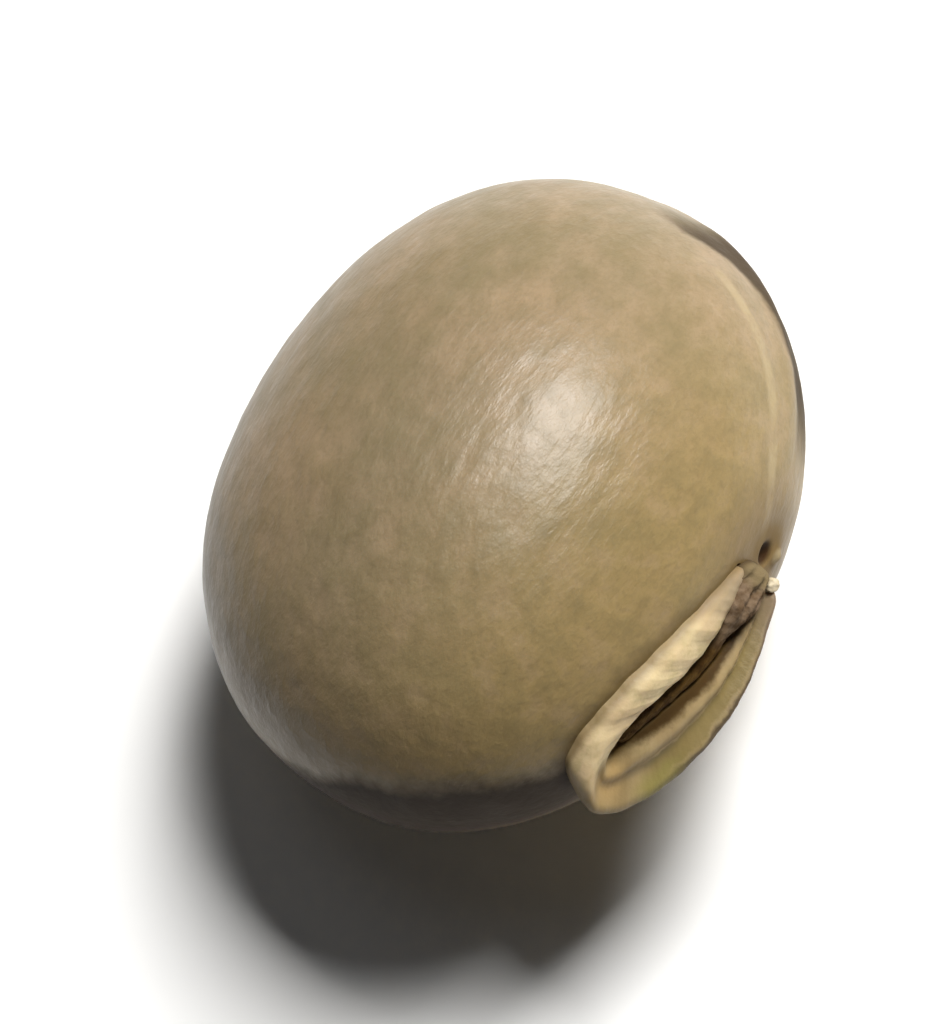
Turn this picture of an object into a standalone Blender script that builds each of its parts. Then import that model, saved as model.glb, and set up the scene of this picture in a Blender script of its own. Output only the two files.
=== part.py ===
# White velvet bean: one dry seed, lying on its flatter side.
#
# Units are metres, +Z is up. The seed is modelled in its own frame: +X runs along
# the seed to the end that the collar's open end points to, -Y is the edge that
# carries the scar (hilum), and Z is the thickness. An empty then leans the seed
# so that the scar's edge is a little raised, and sets it on its flat spot at z = 0.

import math

import bmesh
import bpy
import numpy as np
from mathutils import Vector

# Seed body
HALF_LENGTH = 0.0086
HALF_WIDTH = 0.0075
HALF_THICKNESS = 0.00525
OUTLINE_POWER = 2.15
SECTION_POWER = 2.10
WIDTH_TAPER = -0.02
THICKNESS_TAPER = 0.07
SCAR_SIDE_SPREAD = 0.07
OUTLINE_BOW = 0.0006
BOW_BALANCE = 0.33
BODY_SEGMENTS = 84
BODY_RINGS = 32
EQUATOR_CROWDING = 0.34
EDGE_STEPS = 720
OUTLINE_STEPS = 200
NORMAL_REACH = 0.0002

# Keel that runs from the pit round the seed's end
KEEL_HEIGHT = 0.00011
KEEL_HALF_BREADTH = 0.00042
KEEL_START_ANGLE = math.radians(62)
KEEL_END_ANGLE = math.radians(-22)
KEEL_START_FADE = math.radians(14)
KEEL_END_FADE = math.radians(29)

# Dimple and pit (micropyle) past the collar's open end
DIMPLE_DEPTH = 0.0001
DIMPLE_RADIUS = 0.0009
PIT_RADIUS = 0.00017
PIT_FLOOR_SHARE = 0.35
PIT_SIDES = 14
PIT_DEPTH = 0.0003
PIT_PLACE = 0.00386
PIT_ACROSS = -0.00064

# How the seed lies
LEAN = math.radians(13)
FLAT_SPOT_TRIM = 0.00021

# Collar (aril): distances along the edge are measured from the collar's middle
COLLAR_MIDDLE_X = -0.0012
COLLAR_HALF_LENGTH = 0.00368
COLLAR_HALF_WIDTH = 0.00159
COLLAR_TIP_HALF_WIDTH = 0.00060
COLLAR_TIP_PLACE = 0.00315
COLLAR_WIDEST_PLACE = -0.0017
ARM_TAPER_POWER = 1.8
COLLAR_HEIGHT = 0.00105
SCAR_SIDE_SHIFT = 0.00009
SLOT_CLOSED_PLACE = -0.00245
SLOT_HALF_WIDTH = 0.00036
SLOT_TIP_HALF_WIDTH = 0.00030
SLOT_WIDEST_PLACE = -0.0007
SLOT_SIDE_SHIFT = 0.00052
SLOT_TIP_SIDE_SHIFT = -0.0001
SLOT_SHIFT_FADE_START = -0.0017
SLOT_SHIFT_FADE_END = 0.0013
CROWN_RADIUS = 0.0065
RIB_PITCH = 0.00042
RIB_HEIGHT = 0.000025
LUMP_PITCH = 0.00093
LUMP_HEIGHT = 0.000035
LEAST_RELIEF = 0.25
TIP_DROOP = 0.35
TIP_DROOP_START = 0.55
TIP_ROUNDING = 0.06
TIP_BLUNTNESS = 0.30
COLLAR_STATIONS = 148
LOWER_LIP_START = -0.34
LOWER_LIP_FADE = 0.40

# Seat that the collar and the stalk remnant stand in
SEAT_DEPTH = 0.00042
SEAT_END_PLACE = 0.00346
SEAT_END_POWER = 2.6
SEAT_END_HALF_SHARE = 0.14
SEAT_CUTTER_TOP = 0.0012
SEAT_CUTTER_STATIONS = 40
SEAT_CUTTER_COLUMNS = 8
GAP = 0.00006

# Stalk remnant (funicle) in the slot
STRAND_START = -0.0020
STRAND_HALF_WIDTH = 0.00021
STRAND_HEIGHT = 0.00022
STRAND_SIDE_SHIFT = -0.00009
CAP_START = 0.0012
CAP_HALF_WIDTH = 0.00026
CAP_HEIGHT = 0.00046
CAP_SPREAD_START = 0.00316
CAP_SPREAD_HALF_WIDTH = 0.00034
CAP_FADE = 0.0008
CAP_SPREAD_FADE = 0.00012
REMNANT_END = 0.00345
REMNANT_END_ROUNDING = 0.0004
REMNANT_END_HALF_SHARE = 0.22
REMNANT_SHOULDER = -0.0002
REMNANT_EDGE_FALL = 0.55
REMNANT_EDGE_POWER = 2.5
WRINKLE_HEIGHT = 0.00004
WRINKLE_PITCH = 0.00072
CREASE_DEPTH = 0.00005
CREASES = 3
EDGE_WAVES = ((0.06, 0.0012, 0.0), (0.04, 0.00056, 1.0))
REMNANT_STATIONS = 48
REMNANT_COLUMNS = 7

# Each lip's section, from the collar's outside to the slot: share of the lip's
# width, and share of the collar's height. The upper lip, on the +Z side, is low and
# broad. The lower one has a furrow between a tall outer band and an inner ridge, and
# the closed end follows it.
UPPER_SECTION = (
    (0.00, 0.04),
    (0.03, 0.13),
    (0.09, 0.22),
    (0.18, 0.29),
    (0.30, 0.32),
    (0.44, 0.34),
    (0.58, 0.34),
    (0.70, 0.33),
    (0.81, 0.30),
    (0.90, 0.26),
    (0.97, 0.18),
    (1.00, 0.08),
)
LOWER_SECTION = (
    (0.00, 0.05),
    (0.02, 0.48),
    (0.08, 0.86),
    (0.17, 1.00),
    (0.27, 0.95),
    (0.37, 0.76),
    (0.47, 0.59),
    (0.57, 0.51),
    (0.68, 0.50),
    (0.79, 0.52),
    (0.91, 0.48),
    (1.00, 0.17),
)


def clear_scene():
    for item in list(bpy.data.objects):
        bpy.data.objects.remove(item, do_unlink=True)


def new_collection(name):
    made = bpy.data.collections.new(name)
    bpy.context.scene.collection.children.link(made)
    return made


def new_material(name, colour, roughness):
    made = bpy.data.materials.new(name)
    made.use_nodes = True
    shader = made.node_tree.nodes["Principled BSDF"]
    shader.inputs["Base Color"].default_value = (*colour, 1.0)
    shader.inputs["Roughness"].default_value = roughness
    shader.inputs["Metallic"].default_value = 0.0
    return made


def new_object(name, mesh, collection, parent=None, material=None):
    made = bpy.data.objects.new(name, mesh)
    collection.objects.link(made)
    made.parent = parent
    if material:
        mesh.materials.append(material)
    return made


def smooth_step(value):
    clipped = min(max(value, 0.0), 1.0)
    return clipped * clipped * (3 - 2 * clipped)


def rounded(value):
    """A quarter circle's rise, from 0 at the tip of an end to 1 where it is full."""
    clipped = min(max(value, 0.0), 1.0)
    return math.sqrt(1 - (1 - clipped) ** 2)


def smooth_body_point(direction):
    """The seed's plain rounded form, where a ray from its middle leaves it."""
    dx, dy, dz = direction
    flat = (abs(dx) ** OUTLINE_POWER + abs(dy) ** OUTLINE_POWER) ** (SECTION_POWER / OUTLINE_POWER)
    reach = (flat + abs(dz) ** SECTION_POWER) ** (-1 / SECTION_POWER)
    ux, uy, uz = dx * reach, dy * reach, dz * reach
    x = HALF_LENGTH * ux * (1 - SCAR_SIDE_SPREAD * uy)
    y = HALF_WIDTH * uy * (1 + WIDTH_TAPER * ux) + OUTLINE_BOW * (ux * ux - BOW_BALANCE)
    z = HALF_THICKNESS * uz * (1 + THICKNESS_TAPER * ux)
    return np.array((x, y, z))


def edge_curve():
    """The seed's edge on the scar's side, from its -X end to its +X end."""
    points = []
    for step in range(EDGE_STEPS + 1):
        turn = math.pi - math.pi * step / EDGE_STEPS
        points.append(smooth_body_point((math.cos(turn), -math.sin(turn), 0.0)))
    points = np.array(points)
    lengths = np.linalg.norm(np.diff(points, axis=0), axis=1)
    travel = np.concatenate(([0.0], np.cumsum(lengths)))
    middle = np.interp(COLLAR_MIDDLE_X, points[:, 0], travel)
    return points, travel - middle


EDGE_POINTS, EDGE_TRAVEL = edge_curve()


def edge_point(place):
    x = np.interp(place, EDGE_TRAVEL, EDGE_POINTS[:, 0])
    y = np.interp(place, EDGE_TRAVEL, EDGE_POINTS[:, 1])
    return np.array((x, y, 0.0))


def edge_normal(place):
    along = edge_point(place + NORMAL_REACH) - edge_point(place - NORMAL_REACH)
    outward = np.array((along[1], -along[0], 0.0))
    return outward / np.linalg.norm(outward)


def on_edge(place, across, height):
    """A point given along the scar, across it and above the seed's crown."""
    offset = across + SCAR_SIDE_SHIFT
    sag = offset * offset / (2 * CROWN_RADIUS)
    point = edge_point(place) + edge_normal(place) * (height - sag)
    point[2] += offset
    return point


def body_point(direction):
    """The plain form with the keel raised and the dimple pressed in."""
    point = smooth_body_point(direction)
    dx, dy, dz = direction
    outward = np.array((dx / HALF_LENGTH, dy / HALF_WIDTH, dz / HALF_THICKNESS))
    outward /= np.linalg.norm(outward)
    angle = math.atan2(-dy, dx)
    rise = smooth_step((KEEL_START_ANGLE - angle) / KEEL_START_FADE)
    rise *= smooth_step((angle - KEEL_END_ANGLE) / KEEL_END_FADE)
    point += outward * KEEL_HEIGHT * rise * math.exp(-((point[2] / KEEL_HALF_BREADTH) ** 2))
    off_pit = np.linalg.norm(point - on_edge(PIT_PLACE, PIT_ACROSS, 0.0)) / DIMPLE_RADIUS
    return point - outward * DIMPLE_DEPTH * math.exp(-off_pit * off_pit)


def make_body_mesh():
    shape = bmesh.new()
    bmesh.ops.create_uvsphere(shape, u_segments=BODY_SEGMENTS, v_segments=BODY_RINGS, radius=1.0)
    for vertex in shape.verts:
        height = math.asin(min(max(vertex.co.z, -1.0), 1.0))
        height -= EQUATOR_CROWDING * math.sin(2 * height)
        turn = math.atan2(vertex.co.y, vertex.co.x)
        direction = (
            math.cos(height) * math.cos(turn),
            math.cos(height) * math.sin(turn),
            math.sin(height),
        )
        vertex.co = Vector(body_point(direction))
    mesh = bpy.data.meshes.new("seed")
    shape.to_mesh(mesh)
    shape.free()
    mesh.shade_smooth()
    return mesh


def half_width(place, closed_place, widest_place, widest, tip_place, tip):
    """Half the breadth of a blunt-ended, tapering outline at a place along it."""
    if place < widest_place:
        share = (widest_place - place) / (widest_place - closed_place)
        return widest * math.sqrt(max(1 - share * share, 0.0))
    share = min((place - widest_place) / (tip_place - widest_place), 1.0)
    return widest + (tip - widest) * share ** ARM_TAPER_POWER


def slot_shift(place):
    """How far the slot lies toward the upper lip: it slants across the collar."""
    fade = (place - SLOT_SHIFT_FADE_START) / (SLOT_SHIFT_FADE_END - SLOT_SHIFT_FADE_START)
    return SLOT_SIDE_SHIFT + (SLOT_TIP_SIDE_SHIFT - SLOT_SIDE_SHIFT) * smooth_step(fade)


def hairpin(closed_place, widest_place, widest, tip_place, tip, count):
    """Evenly spaced points round a hairpin: up one arm, round the closed end, back."""
    dense = []
    for step in range(OUTLINE_STEPS + 1):
        turn = math.pi / 2 * step / OUTLINE_STEPS
        place = widest_place - (widest_place - closed_place) * math.cos(turn)
        dense.append((place, half_width(place, closed_place, widest_place, widest, tip_place, tip)))
    for step in range(1, OUTLINE_STEPS + 1):
        place = widest_place + (tip_place - widest_place) * step / OUTLINE_STEPS
        dense.append((place, half_width(place, closed_place, widest_place, widest, tip_place, tip)))
    arm = np.array(dense)
    lengths = np.linalg.norm(np.diff(arm, axis=0), axis=1)
    travel = np.concatenate(([0.0], np.cumsum(lengths)))
    points = []
    for step in range(count):
        share = 2 * step / (count - 1) - 1
        reach = abs(share) * travel[-1]
        place = np.interp(reach, travel, arm[:, 0])
        across = np.interp(reach, travel, arm[:, 1])
        points.append((place, math.copysign(across, -share) if step else across))
    return np.array(points), travel[-1]


def lip_section(share):
    """The lip's section at a share of the hairpin, from -1 to 1."""
    lower = smooth_step((share - LOWER_LIP_START) / LOWER_LIP_FADE)
    points = []
    for upper_point, lower_point in zip(UPPER_SECTION, LOWER_SECTION):
        points.append([u + (v - u) * lower for u, v in zip(upper_point, lower_point)])
    return [(0.0, None)] + points + [(1.0, None), (0.5, None)]


def make_collar_mesh():
    """A loft: the lip's section carried round the hairpin between its two outlines."""
    outer, arm_length = hairpin(
        -COLLAR_HALF_LENGTH, COLLAR_WIDEST_PLACE, COLLAR_HALF_WIDTH,
        COLLAR_TIP_PLACE, COLLAR_TIP_HALF_WIDTH, COLLAR_STATIONS,
    )
    inner, _ = hairpin(
        SLOT_CLOSED_PLACE, SLOT_WIDEST_PLACE, SLOT_HALF_WIDTH,
        COLLAR_TIP_PLACE, SLOT_TIP_HALF_WIDTH, COLLAR_STATIONS,
    )
    for point in inner:
        point[1] += slot_shift(point[0])
    foot = -(SEAT_DEPTH - GAP)
    shape = bmesh.new()
    rings = []
    for station in range(COLLAR_STATIONS):
        share = 2 * station / (COLLAR_STATIONS - 1) - 1
        travel = abs(share) * arm_length
        relief = RIB_HEIGHT * math.cos(2 * math.pi * travel / RIB_PITCH)
        relief += LUMP_HEIGHT * math.cos(2 * math.pi * travel / LUMP_PITCH + 2 * share)
        droop = 1 - TIP_DROOP * smooth_step((abs(share) - TIP_DROOP_START) / (1 - TIP_DROOP_START))
        round_off = TIP_BLUNTNESS + (1 - TIP_BLUNTNESS) * rounded((1 - abs(share)) / TIP_ROUNDING)
        ring = []
        for width_share, height_share in lip_section(share):
            drawn_in = 0.5 + (width_share - 0.5) * round_off
            place, across = outer[station] + (inner[station] - outer[station]) * drawn_in
            if height_share is None:
                height = foot
            else:
                crest = max(math.sin(math.pi * width_share), LEAST_RELIEF)
                height = (COLLAR_HEIGHT * height_share * droop + relief * crest) * round_off
            ring.append(shape.verts.new(Vector(on_edge(place, across, height))))
        rings.append(ring)
    close_loft(shape, rings)
    mesh = bpy.data.meshes.new("aril")
    shape.to_mesh(mesh)
    shape.free()
    mesh.shade_smooth()
    mesh.set_sharp_from_angle(angle=math.radians(50))
    return mesh


def close_loft(shape, rings):
    """Skins a row of equal rings and closes both ends."""
    size = len(rings[0])
    for first, second in zip(rings, rings[1:]):
        for corner in range(size):
            after = (corner + 1) % size
            shape.faces.new((first[corner], first[after], second[after], second[corner]))
    shape.faces.new(list(reversed(rings[0])))
    shape.faces.new(rings[-1])
    bmesh.ops.recalc_face_normals(shape, faces=shape.faces)


def make_strip_mesh(name, places, columns, breadth, floor, roof, shift):
    """A closed strip along the edge, given by its breadth, its floor and its roof."""
    shape = bmesh.new()
    rings = []
    for place in places:
        lows = []
        highs = []
        for column in range(columns + 1):
            share = 2 * column / columns - 1
            across = breadth(place) * share + shift(place)
            lows.append(shape.verts.new(Vector(on_edge(place, across, floor(place, share)))))
            highs.append(shape.verts.new(Vector(on_edge(place, across, roof(place, share)))))
        rings.append(lows + list(reversed(highs)))
    size = columns + 1
    for first, second in zip(rings, rings[1:]):
        for corner in range(2 * size):
            after = (corner + 1) % (2 * size)
            shape.faces.new((first[corner], first[after], second[after], second[corner]))
    for ring in (rings[0], rings[-1]):
        for column in range(columns):
            low = ring[column]
            next_low = ring[column + 1]
            next_high = ring[2 * size - 2 - column]
            high = ring[2 * size - 1 - column]
            shape.faces.new((low, next_low, next_high, high))
    bmesh.ops.recalc_face_normals(shape, faces=shape.faces)
    mesh = bpy.data.meshes.new(name)
    shape.to_mesh(mesh)
    shape.free()
    return mesh


def spread(start, end, count):
    """Places along the edge, closer together at both ends."""
    places = []
    for step in range(count):
        share = 0.5 - 0.5 * math.cos(math.pi * step / (count - 1))
        places.append(start + (end - start) * share)
    return places


def seat_breadth(place):
    """The collar's outline with the gap round it, rounded off past its open end."""
    start = -COLLAR_HALF_LENGTH - GAP
    breadth = GAP + half_width(
        place, start, COLLAR_WIDEST_PLACE, COLLAR_HALF_WIDTH,
        COLLAR_TIP_PLACE, COLLAR_TIP_HALF_WIDTH,
    )
    end = SEAT_END_PLACE + GAP
    if place > COLLAR_TIP_PLACE:
        share = (place - COLLAR_TIP_PLACE) / (end - COLLAR_TIP_PLACE)
        breadth *= max(math.sqrt(max(1 - share ** SEAT_END_POWER, 0.0)), SEAT_END_HALF_SHARE)
    return breadth


def make_seat_cutter():
    places = spread(-COLLAR_HALF_LENGTH - GAP, SEAT_END_PLACE + GAP, SEAT_CUTTER_STATIONS)
    return make_strip_mesh(
        "seat_cutter", places, SEAT_CUTTER_COLUMNS, seat_breadth,
        lambda place, share: -SEAT_DEPTH,
        lambda place, share: SEAT_CUTTER_TOP,
        lambda place: 0.0,
    )


def cap_share(place):
    return smooth_step((place - CAP_START) / CAP_FADE)


def remnant_end_rounding(place):
    to_end = min(place - STRAND_START, REMNANT_END - place)
    return rounded(to_end / REMNANT_END_ROUNDING)


def remnant_breadth(place):
    """Half the remnant's breadth: a thin strand, then a cap that spreads past the tips."""
    past_tips = smooth_step((place - CAP_SPREAD_START) / CAP_SPREAD_FADE)
    breadth = STRAND_HALF_WIDTH + (CAP_HALF_WIDTH - STRAND_HALF_WIDTH) * cap_share(place)
    breadth += (CAP_SPREAD_HALF_WIDTH - CAP_HALF_WIDTH) * past_tips
    for size, pitch, start in EDGE_WAVES:
        breadth *= 1 + size * math.sin(2 * math.pi * place / pitch + start)
    return breadth * max(remnant_end_rounding(place), REMNANT_END_HALF_SHARE)


def remnant_roof(place, share):
    """The remnant's wrinkled top, with lengthwise creases in the cap."""
    cap = cap_share(place)
    height = STRAND_HEIGHT + (CAP_HEIGHT - STRAND_HEIGHT) * cap
    height *= 1 - REMNANT_EDGE_FALL * abs(share) ** REMNANT_EDGE_POWER
    wave = math.sin(2 * math.pi * place / WRINKLE_PITCH + CREASES * share)
    height += WRINKLE_HEIGHT * wave * (1 + cap) / 2
    height -= CREASE_DEPTH * math.cos(CREASES * math.pi * share) * cap
    return REMNANT_SHOULDER + (height - REMNANT_SHOULDER) * remnant_end_rounding(place)


def remnant_shift(place):
    """The strand lies off the slot's middle, and the cap comes back to it."""
    off_middle = STRAND_SIDE_SHIFT * (1 - smooth_step((place - CAP_START) / CAP_FADE + 0.5))
    return slot_shift(place) + off_middle


def make_remnant_mesh():
    mesh = make_strip_mesh(
        "funicle_remnant", spread(STRAND_START, REMNANT_END, REMNANT_STATIONS), REMNANT_COLUMNS,
        remnant_breadth,
        lambda place, share: -(SEAT_DEPTH - GAP),
        remnant_roof,
        remnant_shift,
    )
    mesh.shade_smooth()
    mesh.set_sharp_from_angle(angle=math.radians(60))
    return mesh


def make_pit_cutter():
    shape = bmesh.new()
    bmesh.ops.create_cone(
        shape, cap_ends=True, segments=PIT_SIDES, depth=2 * PIT_DEPTH,
        radius1=PIT_RADIUS * PIT_FLOOR_SHARE, radius2=PIT_RADIUS,
    )
    mesh = bpy.data.meshes.new("pit_cutter")
    shape.to_mesh(mesh)
    shape.free()
    return mesh


def cut(target, cutter, name):
    modifier = target.modifiers.new(name, "BOOLEAN")
    modifier.operation = "DIFFERENCE"
    modifier.solver = "EXACT"
    modifier.object = cutter
    cutter.hide_render = True
    cutter.display_type = "WIRE"


def leaned(points):
    """The points turned about X, so that the scar's edge rises."""
    cosine, sine = math.cos(LEAN), math.sin(LEAN)
    y = points[:, 1] * cosine + points[:, 2] * sine
    z = points[:, 2] * cosine - points[:, 1] * sine
    return np.stack((points[:, 0], y, z), axis=1)


def mesh_points(mesh):
    return np.array([tuple(vertex.co) for vertex in mesh.vertices])


def build():
    clear_scene()
    parts = new_collection("white_velvet_bean")
    cutters = new_collection("cutters")

    coat = new_material("seed_coat", (0.42, 0.33, 0.185), 0.42)
    cream = new_material("cream_collar", (0.66, 0.53, 0.30), 0.55)
    dry = new_material("dry_stalk", (0.14, 0.085, 0.035), 0.8)

    body_mesh = make_body_mesh()
    collar_mesh = make_collar_mesh()
    remnant_mesh = make_remnant_mesh()

    body_points = leaned(mesh_points(body_mesh))
    all_points = np.concatenate((body_points, leaned(mesh_points(collar_mesh))))
    middle = (all_points.min(axis=0) + all_points.max(axis=0)) / 2
    floor = body_points[:, 2].min() + FLAT_SPOT_TRIM

    lie = bpy.data.objects.new("lie", None)
    parts.objects.link(lie)
    lie.rotation_euler = (-LEAN, 0.0, 0.0)
    lie.location = (-middle[0], -middle[1], -floor)

    seed = new_object("seed", body_mesh, parts, lie, coat)
    new_object("aril", collar_mesh, parts, lie, cream)
    new_object("funicle_remnant", remnant_mesh, parts, lie, dry)

    seat = new_object("seat_cutter", make_seat_cutter(), cutters, lie)
    pit = new_object("pit_cutter", make_pit_cutter(), cutters, lie)
    normal = edge_normal(PIT_PLACE)
    pit.location = Vector(on_edge(PIT_PLACE, PIT_ACROSS, -DIMPLE_DEPTH))
    pit.rotation_euler = Vector(normal).to_track_quat("Z", "X").to_euler()

    slab = bmesh.new()
    bmesh.ops.create_cube(slab, size=1.0)
    slab_mesh = bpy.data.meshes.new("floor_cutter")
    slab.to_mesh(slab_mesh)
    slab.free()
    slab_size = 4 * HALF_LENGTH
    under = new_object("floor_cutter", slab_mesh, cutters)
    under.scale = (slab_size, slab_size, slab_size)
    under.location = (0.0, 0.0, -slab_size / 2)

    cut(seed, seat, "seat")
    cut(seed, pit, "pit")
    cut(seed, under, "flat_spot")
    bpy.context.view_layer.update()


build()
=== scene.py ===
# %% [markdown]
# # One white velvet bean
#
# This lesson dresses one dry seed, 17 mm long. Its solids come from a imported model, the
# frame, which says how big everything is and where it lies. Here each solid is replaced
# by a finer piece of the same form, and each piece gets a finish made of nodes.
#
# The pieces are the smooth coat, the cream collar round the scar, the dried scrap of stalk
# that is left in the collar's slot, and a pale crumb at the collar's tip. All sizes are in
# metres, with +Z up.

# %% Load the frame
import math

import bmesh
import bpy
import numpy as np
from mathutils import Matrix, Vector, noise


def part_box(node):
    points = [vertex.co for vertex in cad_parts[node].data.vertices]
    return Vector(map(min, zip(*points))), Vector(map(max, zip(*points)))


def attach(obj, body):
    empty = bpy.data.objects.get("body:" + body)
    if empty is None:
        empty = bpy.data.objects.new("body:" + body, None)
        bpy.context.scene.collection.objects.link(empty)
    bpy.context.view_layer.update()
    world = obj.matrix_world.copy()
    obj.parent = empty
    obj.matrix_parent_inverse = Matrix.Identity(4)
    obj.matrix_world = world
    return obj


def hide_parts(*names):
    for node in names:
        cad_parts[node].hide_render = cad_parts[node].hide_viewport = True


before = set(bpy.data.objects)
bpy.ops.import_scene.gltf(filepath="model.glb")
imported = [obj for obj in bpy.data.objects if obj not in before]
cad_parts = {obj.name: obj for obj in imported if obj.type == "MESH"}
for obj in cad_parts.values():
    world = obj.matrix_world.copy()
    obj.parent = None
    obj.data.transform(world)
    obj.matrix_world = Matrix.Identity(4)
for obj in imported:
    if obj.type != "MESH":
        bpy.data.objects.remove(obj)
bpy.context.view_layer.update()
seed_low, seed_high = (np.array(corner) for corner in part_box("seed"))
MM = 0.001
print("the seed's box in mm:", np.round((seed_high - seed_low) / MM, 2))

# %% [markdown]
# ## The seed's rounded form
#
# A bean is close to an ellipsoid, but its ends are blunter and one end is thicker. A
# superellipsoid gives that: the same formula with powers a little above 2. The seed lies
# along X, its scar faces -Y and its thickness is along Z. A formula is better here than
# sculpting, because the solid model uses it too, so that both stay the same size.

# %% Soft switches and hills
def unit(vectors):
    """Vectors brought to length 1."""
    return vectors / np.linalg.norm(vectors, axis=-1, keepdims=True)


def smooth_step(value):
    """A soft switch from 0 to 1."""
    clipped = np.clip(value, 0.0, 1.0)
    return clipped * clipped * (3 - 2 * clipped)


def rounded(value):
    """A quarter circle's rise, from 0 at the tip of an end to 1 where it is full."""
    return np.sqrt(1 - (1 - np.clip(value, 0.0, 1.0)) ** 2)


def soft_hill(distance, radius, power=2):
    """1 at a middle, falling off softly with the distance from it."""
    return np.exp(-((distance / radius) ** power))


print("a soft hill one radius out:", round(float(soft_hill(1.0, 1.0)), 2))

# %% Sizes of the body, and its formula
HALF_LENGTH, HALF_WIDTH, HALF_THICKNESS = 8.6 * MM, 7.5 * MM, 5.25 * MM
HALF_SIZES = np.array((HALF_LENGTH, HALF_WIDTH, HALF_THICKNESS))
OUTLINE_POWER, SECTION_POWER = 2.15, 2.10
WIDTH_TAPER, THICKNESS_TAPER, SCAR_SIDE_SPREAD = -0.02, 0.07, 0.07
OUTLINE_BOW, BOW_BALANCE = 0.6 * MM, 0.33


def plain_form(direction):
    """The plain rounded form: places on a unit ball, stretched to the seed's sizes."""
    size = np.abs(direction)
    flat = size[..., 0] ** OUTLINE_POWER + size[..., 1] ** OUTLINE_POWER
    thick = size[..., 2] ** SECTION_POWER
    reach = (flat ** (SECTION_POWER / OUTLINE_POWER) + thick) ** (-1 / SECTION_POWER)
    ux, uy, uz = np.moveaxis(direction * reach[..., None], -1, 0)
    x = HALF_LENGTH * ux * (1 - SCAR_SIDE_SPREAD * uy)
    y = HALF_WIDTH * uy * (1 + WIDTH_TAPER * ux) + OUTLINE_BOW * (ux * ux - BOW_BALANCE)
    z = HALF_THICKNESS * uz * (1 + THICKNESS_TAPER * ux)
    return np.stack((x, y, z), axis=-1)


print("thickness in mm:", round(2 * plain_form(np.array((0.0, 0.0, 1.0)))[2] / MM, 2))

# %% [markdown]
# ## Measuring along the seed's edge
#
# The collar, the stalk scrap, the pit and the keel all lie on the edge that faces -Y. It is
# easier to place them with three numbers of their own: how far along the edge, how far
# across it, and how high above it. The edge curve below turns those into X, Y and Z.

# %% The edge curve
COLLAR_MIDDLE_X = -1.2 * MM
CROWN_RADIUS = 6.5 * MM
SCAR_SIDE_SHIFT = 0.09 * MM
EDGE_STEPS = 1440

turns = math.pi * (1 - np.arange(EDGE_STEPS + 1) / EDGE_STEPS)
edge_line = plain_form(np.stack((np.cos(turns), -np.sin(turns), 0 * turns), axis=-1))
edge_steps = np.linalg.norm(np.diff(edge_line, axis=0), axis=1)
edge_travel = np.concatenate(([0.0], np.cumsum(edge_steps)))
edge_travel -= np.interp(COLLAR_MIDDLE_X, edge_line[:, 0], edge_travel)
edge_along = unit(np.gradient(edge_line, axis=0))


def edge_point(place):
    """A point of the seed's edge."""
    return np.stack([np.interp(place, edge_travel, edge_line[:, axis]) for axis in range(3)], axis=-1)


def edge_normal(place):
    """The way out of the seed at a place on its edge."""
    x, y = (np.interp(place, edge_travel, edge_along[:, axis]) for axis in range(2))
    return unit(np.stack((y, -x, 0 * x), axis=-1))


def on_edge(place, across, height):
    """A point given along the scar, across it and above the seed's crown."""
    offset = across + SCAR_SIDE_SHIFT
    sag = offset * offset / (2 * CROWN_RADIUS)
    point = edge_point(place) + edge_normal(place) * (height - sag)[..., None]
    point[..., 2] += offset
    return point


def spot_on_edge(place, across, height=0.0):
    """One point on the edge, from three plain numbers."""
    return on_edge(np.array(place), np.array(across), np.array(height))


print("the edge is", round((edge_travel[-1] - edge_travel[0]) / MM, 1), "mm long")

# %% [markdown]
# ## Outlines of the collar and its slot
#
# The collar is a hairpin: blunt and closed at one end, tapering and open at the other. One
# small formula gives half its breadth at each place, and the slot's outline uses it too.
# The upper lip is a little narrower near the closed end, and the slot slants across the
# collar, so each of those has a short formula of its own.

# %% Collar and slot outlines
COLLAR_HALF_LENGTH, COLLAR_HALF_WIDTH = 3.68 * MM, 1.59 * MM
COLLAR_TIP_PLACE, COLLAR_TIP_HALF_WIDTH, COLLAR_WIDEST_PLACE = 3.15 * MM, 0.60 * MM, -1.7 * MM
SLOT_CLOSED_PLACE, SLOT_HALF_WIDTH = -2.45 * MM, 0.36 * MM
SLOT_TIP_HALF_WIDTH, SLOT_WIDEST_PLACE = 0.30 * MM, -0.7 * MM
SLOT_SIDE_SHIFT, SLOT_TIP_SIDE_SHIFT = 0.52 * MM, -0.10 * MM
SLOT_SHIFT_FADE_START, SLOT_SHIFT_FADE_END = -1.7 * MM, 1.3 * MM
UPPER_TRIM, UPPER_TRIM_PLACE, UPPER_TRIM_REACH = 0.075, -2.2 * MM, 1.0 * MM
ARM_TAPER_POWER = 1.8
CURVE_STEPS = 400


def half_width(place, closed_place, widest_place, widest, tip):
    """Half the breadth of a blunt-ended, tapering outline at places along it."""
    blunt = np.clip((widest_place - place) / (widest_place - closed_place), 0.0, 1.0)
    taper = np.clip((place - widest_place) / (COLLAR_TIP_PLACE - widest_place), 0.0, 1.0)
    return widest * np.sqrt(1 - blunt ** 2) + (tip - widest) * taper ** ARM_TAPER_POWER


def slot_shift(place):
    """How far the slot lies toward the upper lip: it slants across the collar."""
    fade = smooth_step((place - SLOT_SHIFT_FADE_START) / (SLOT_SHIFT_FADE_END - SLOT_SHIFT_FADE_START))
    return SLOT_SIDE_SHIFT + (SLOT_TIP_SIDE_SHIFT - SLOT_SIDE_SHIFT) * fade


def upper_trim(place):
    """The share of its breadth that the upper lip keeps near the closed end."""
    return 1 - UPPER_TRIM * soft_hill(place - UPPER_TRIM_PLACE, UPPER_TRIM_REACH)


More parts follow.
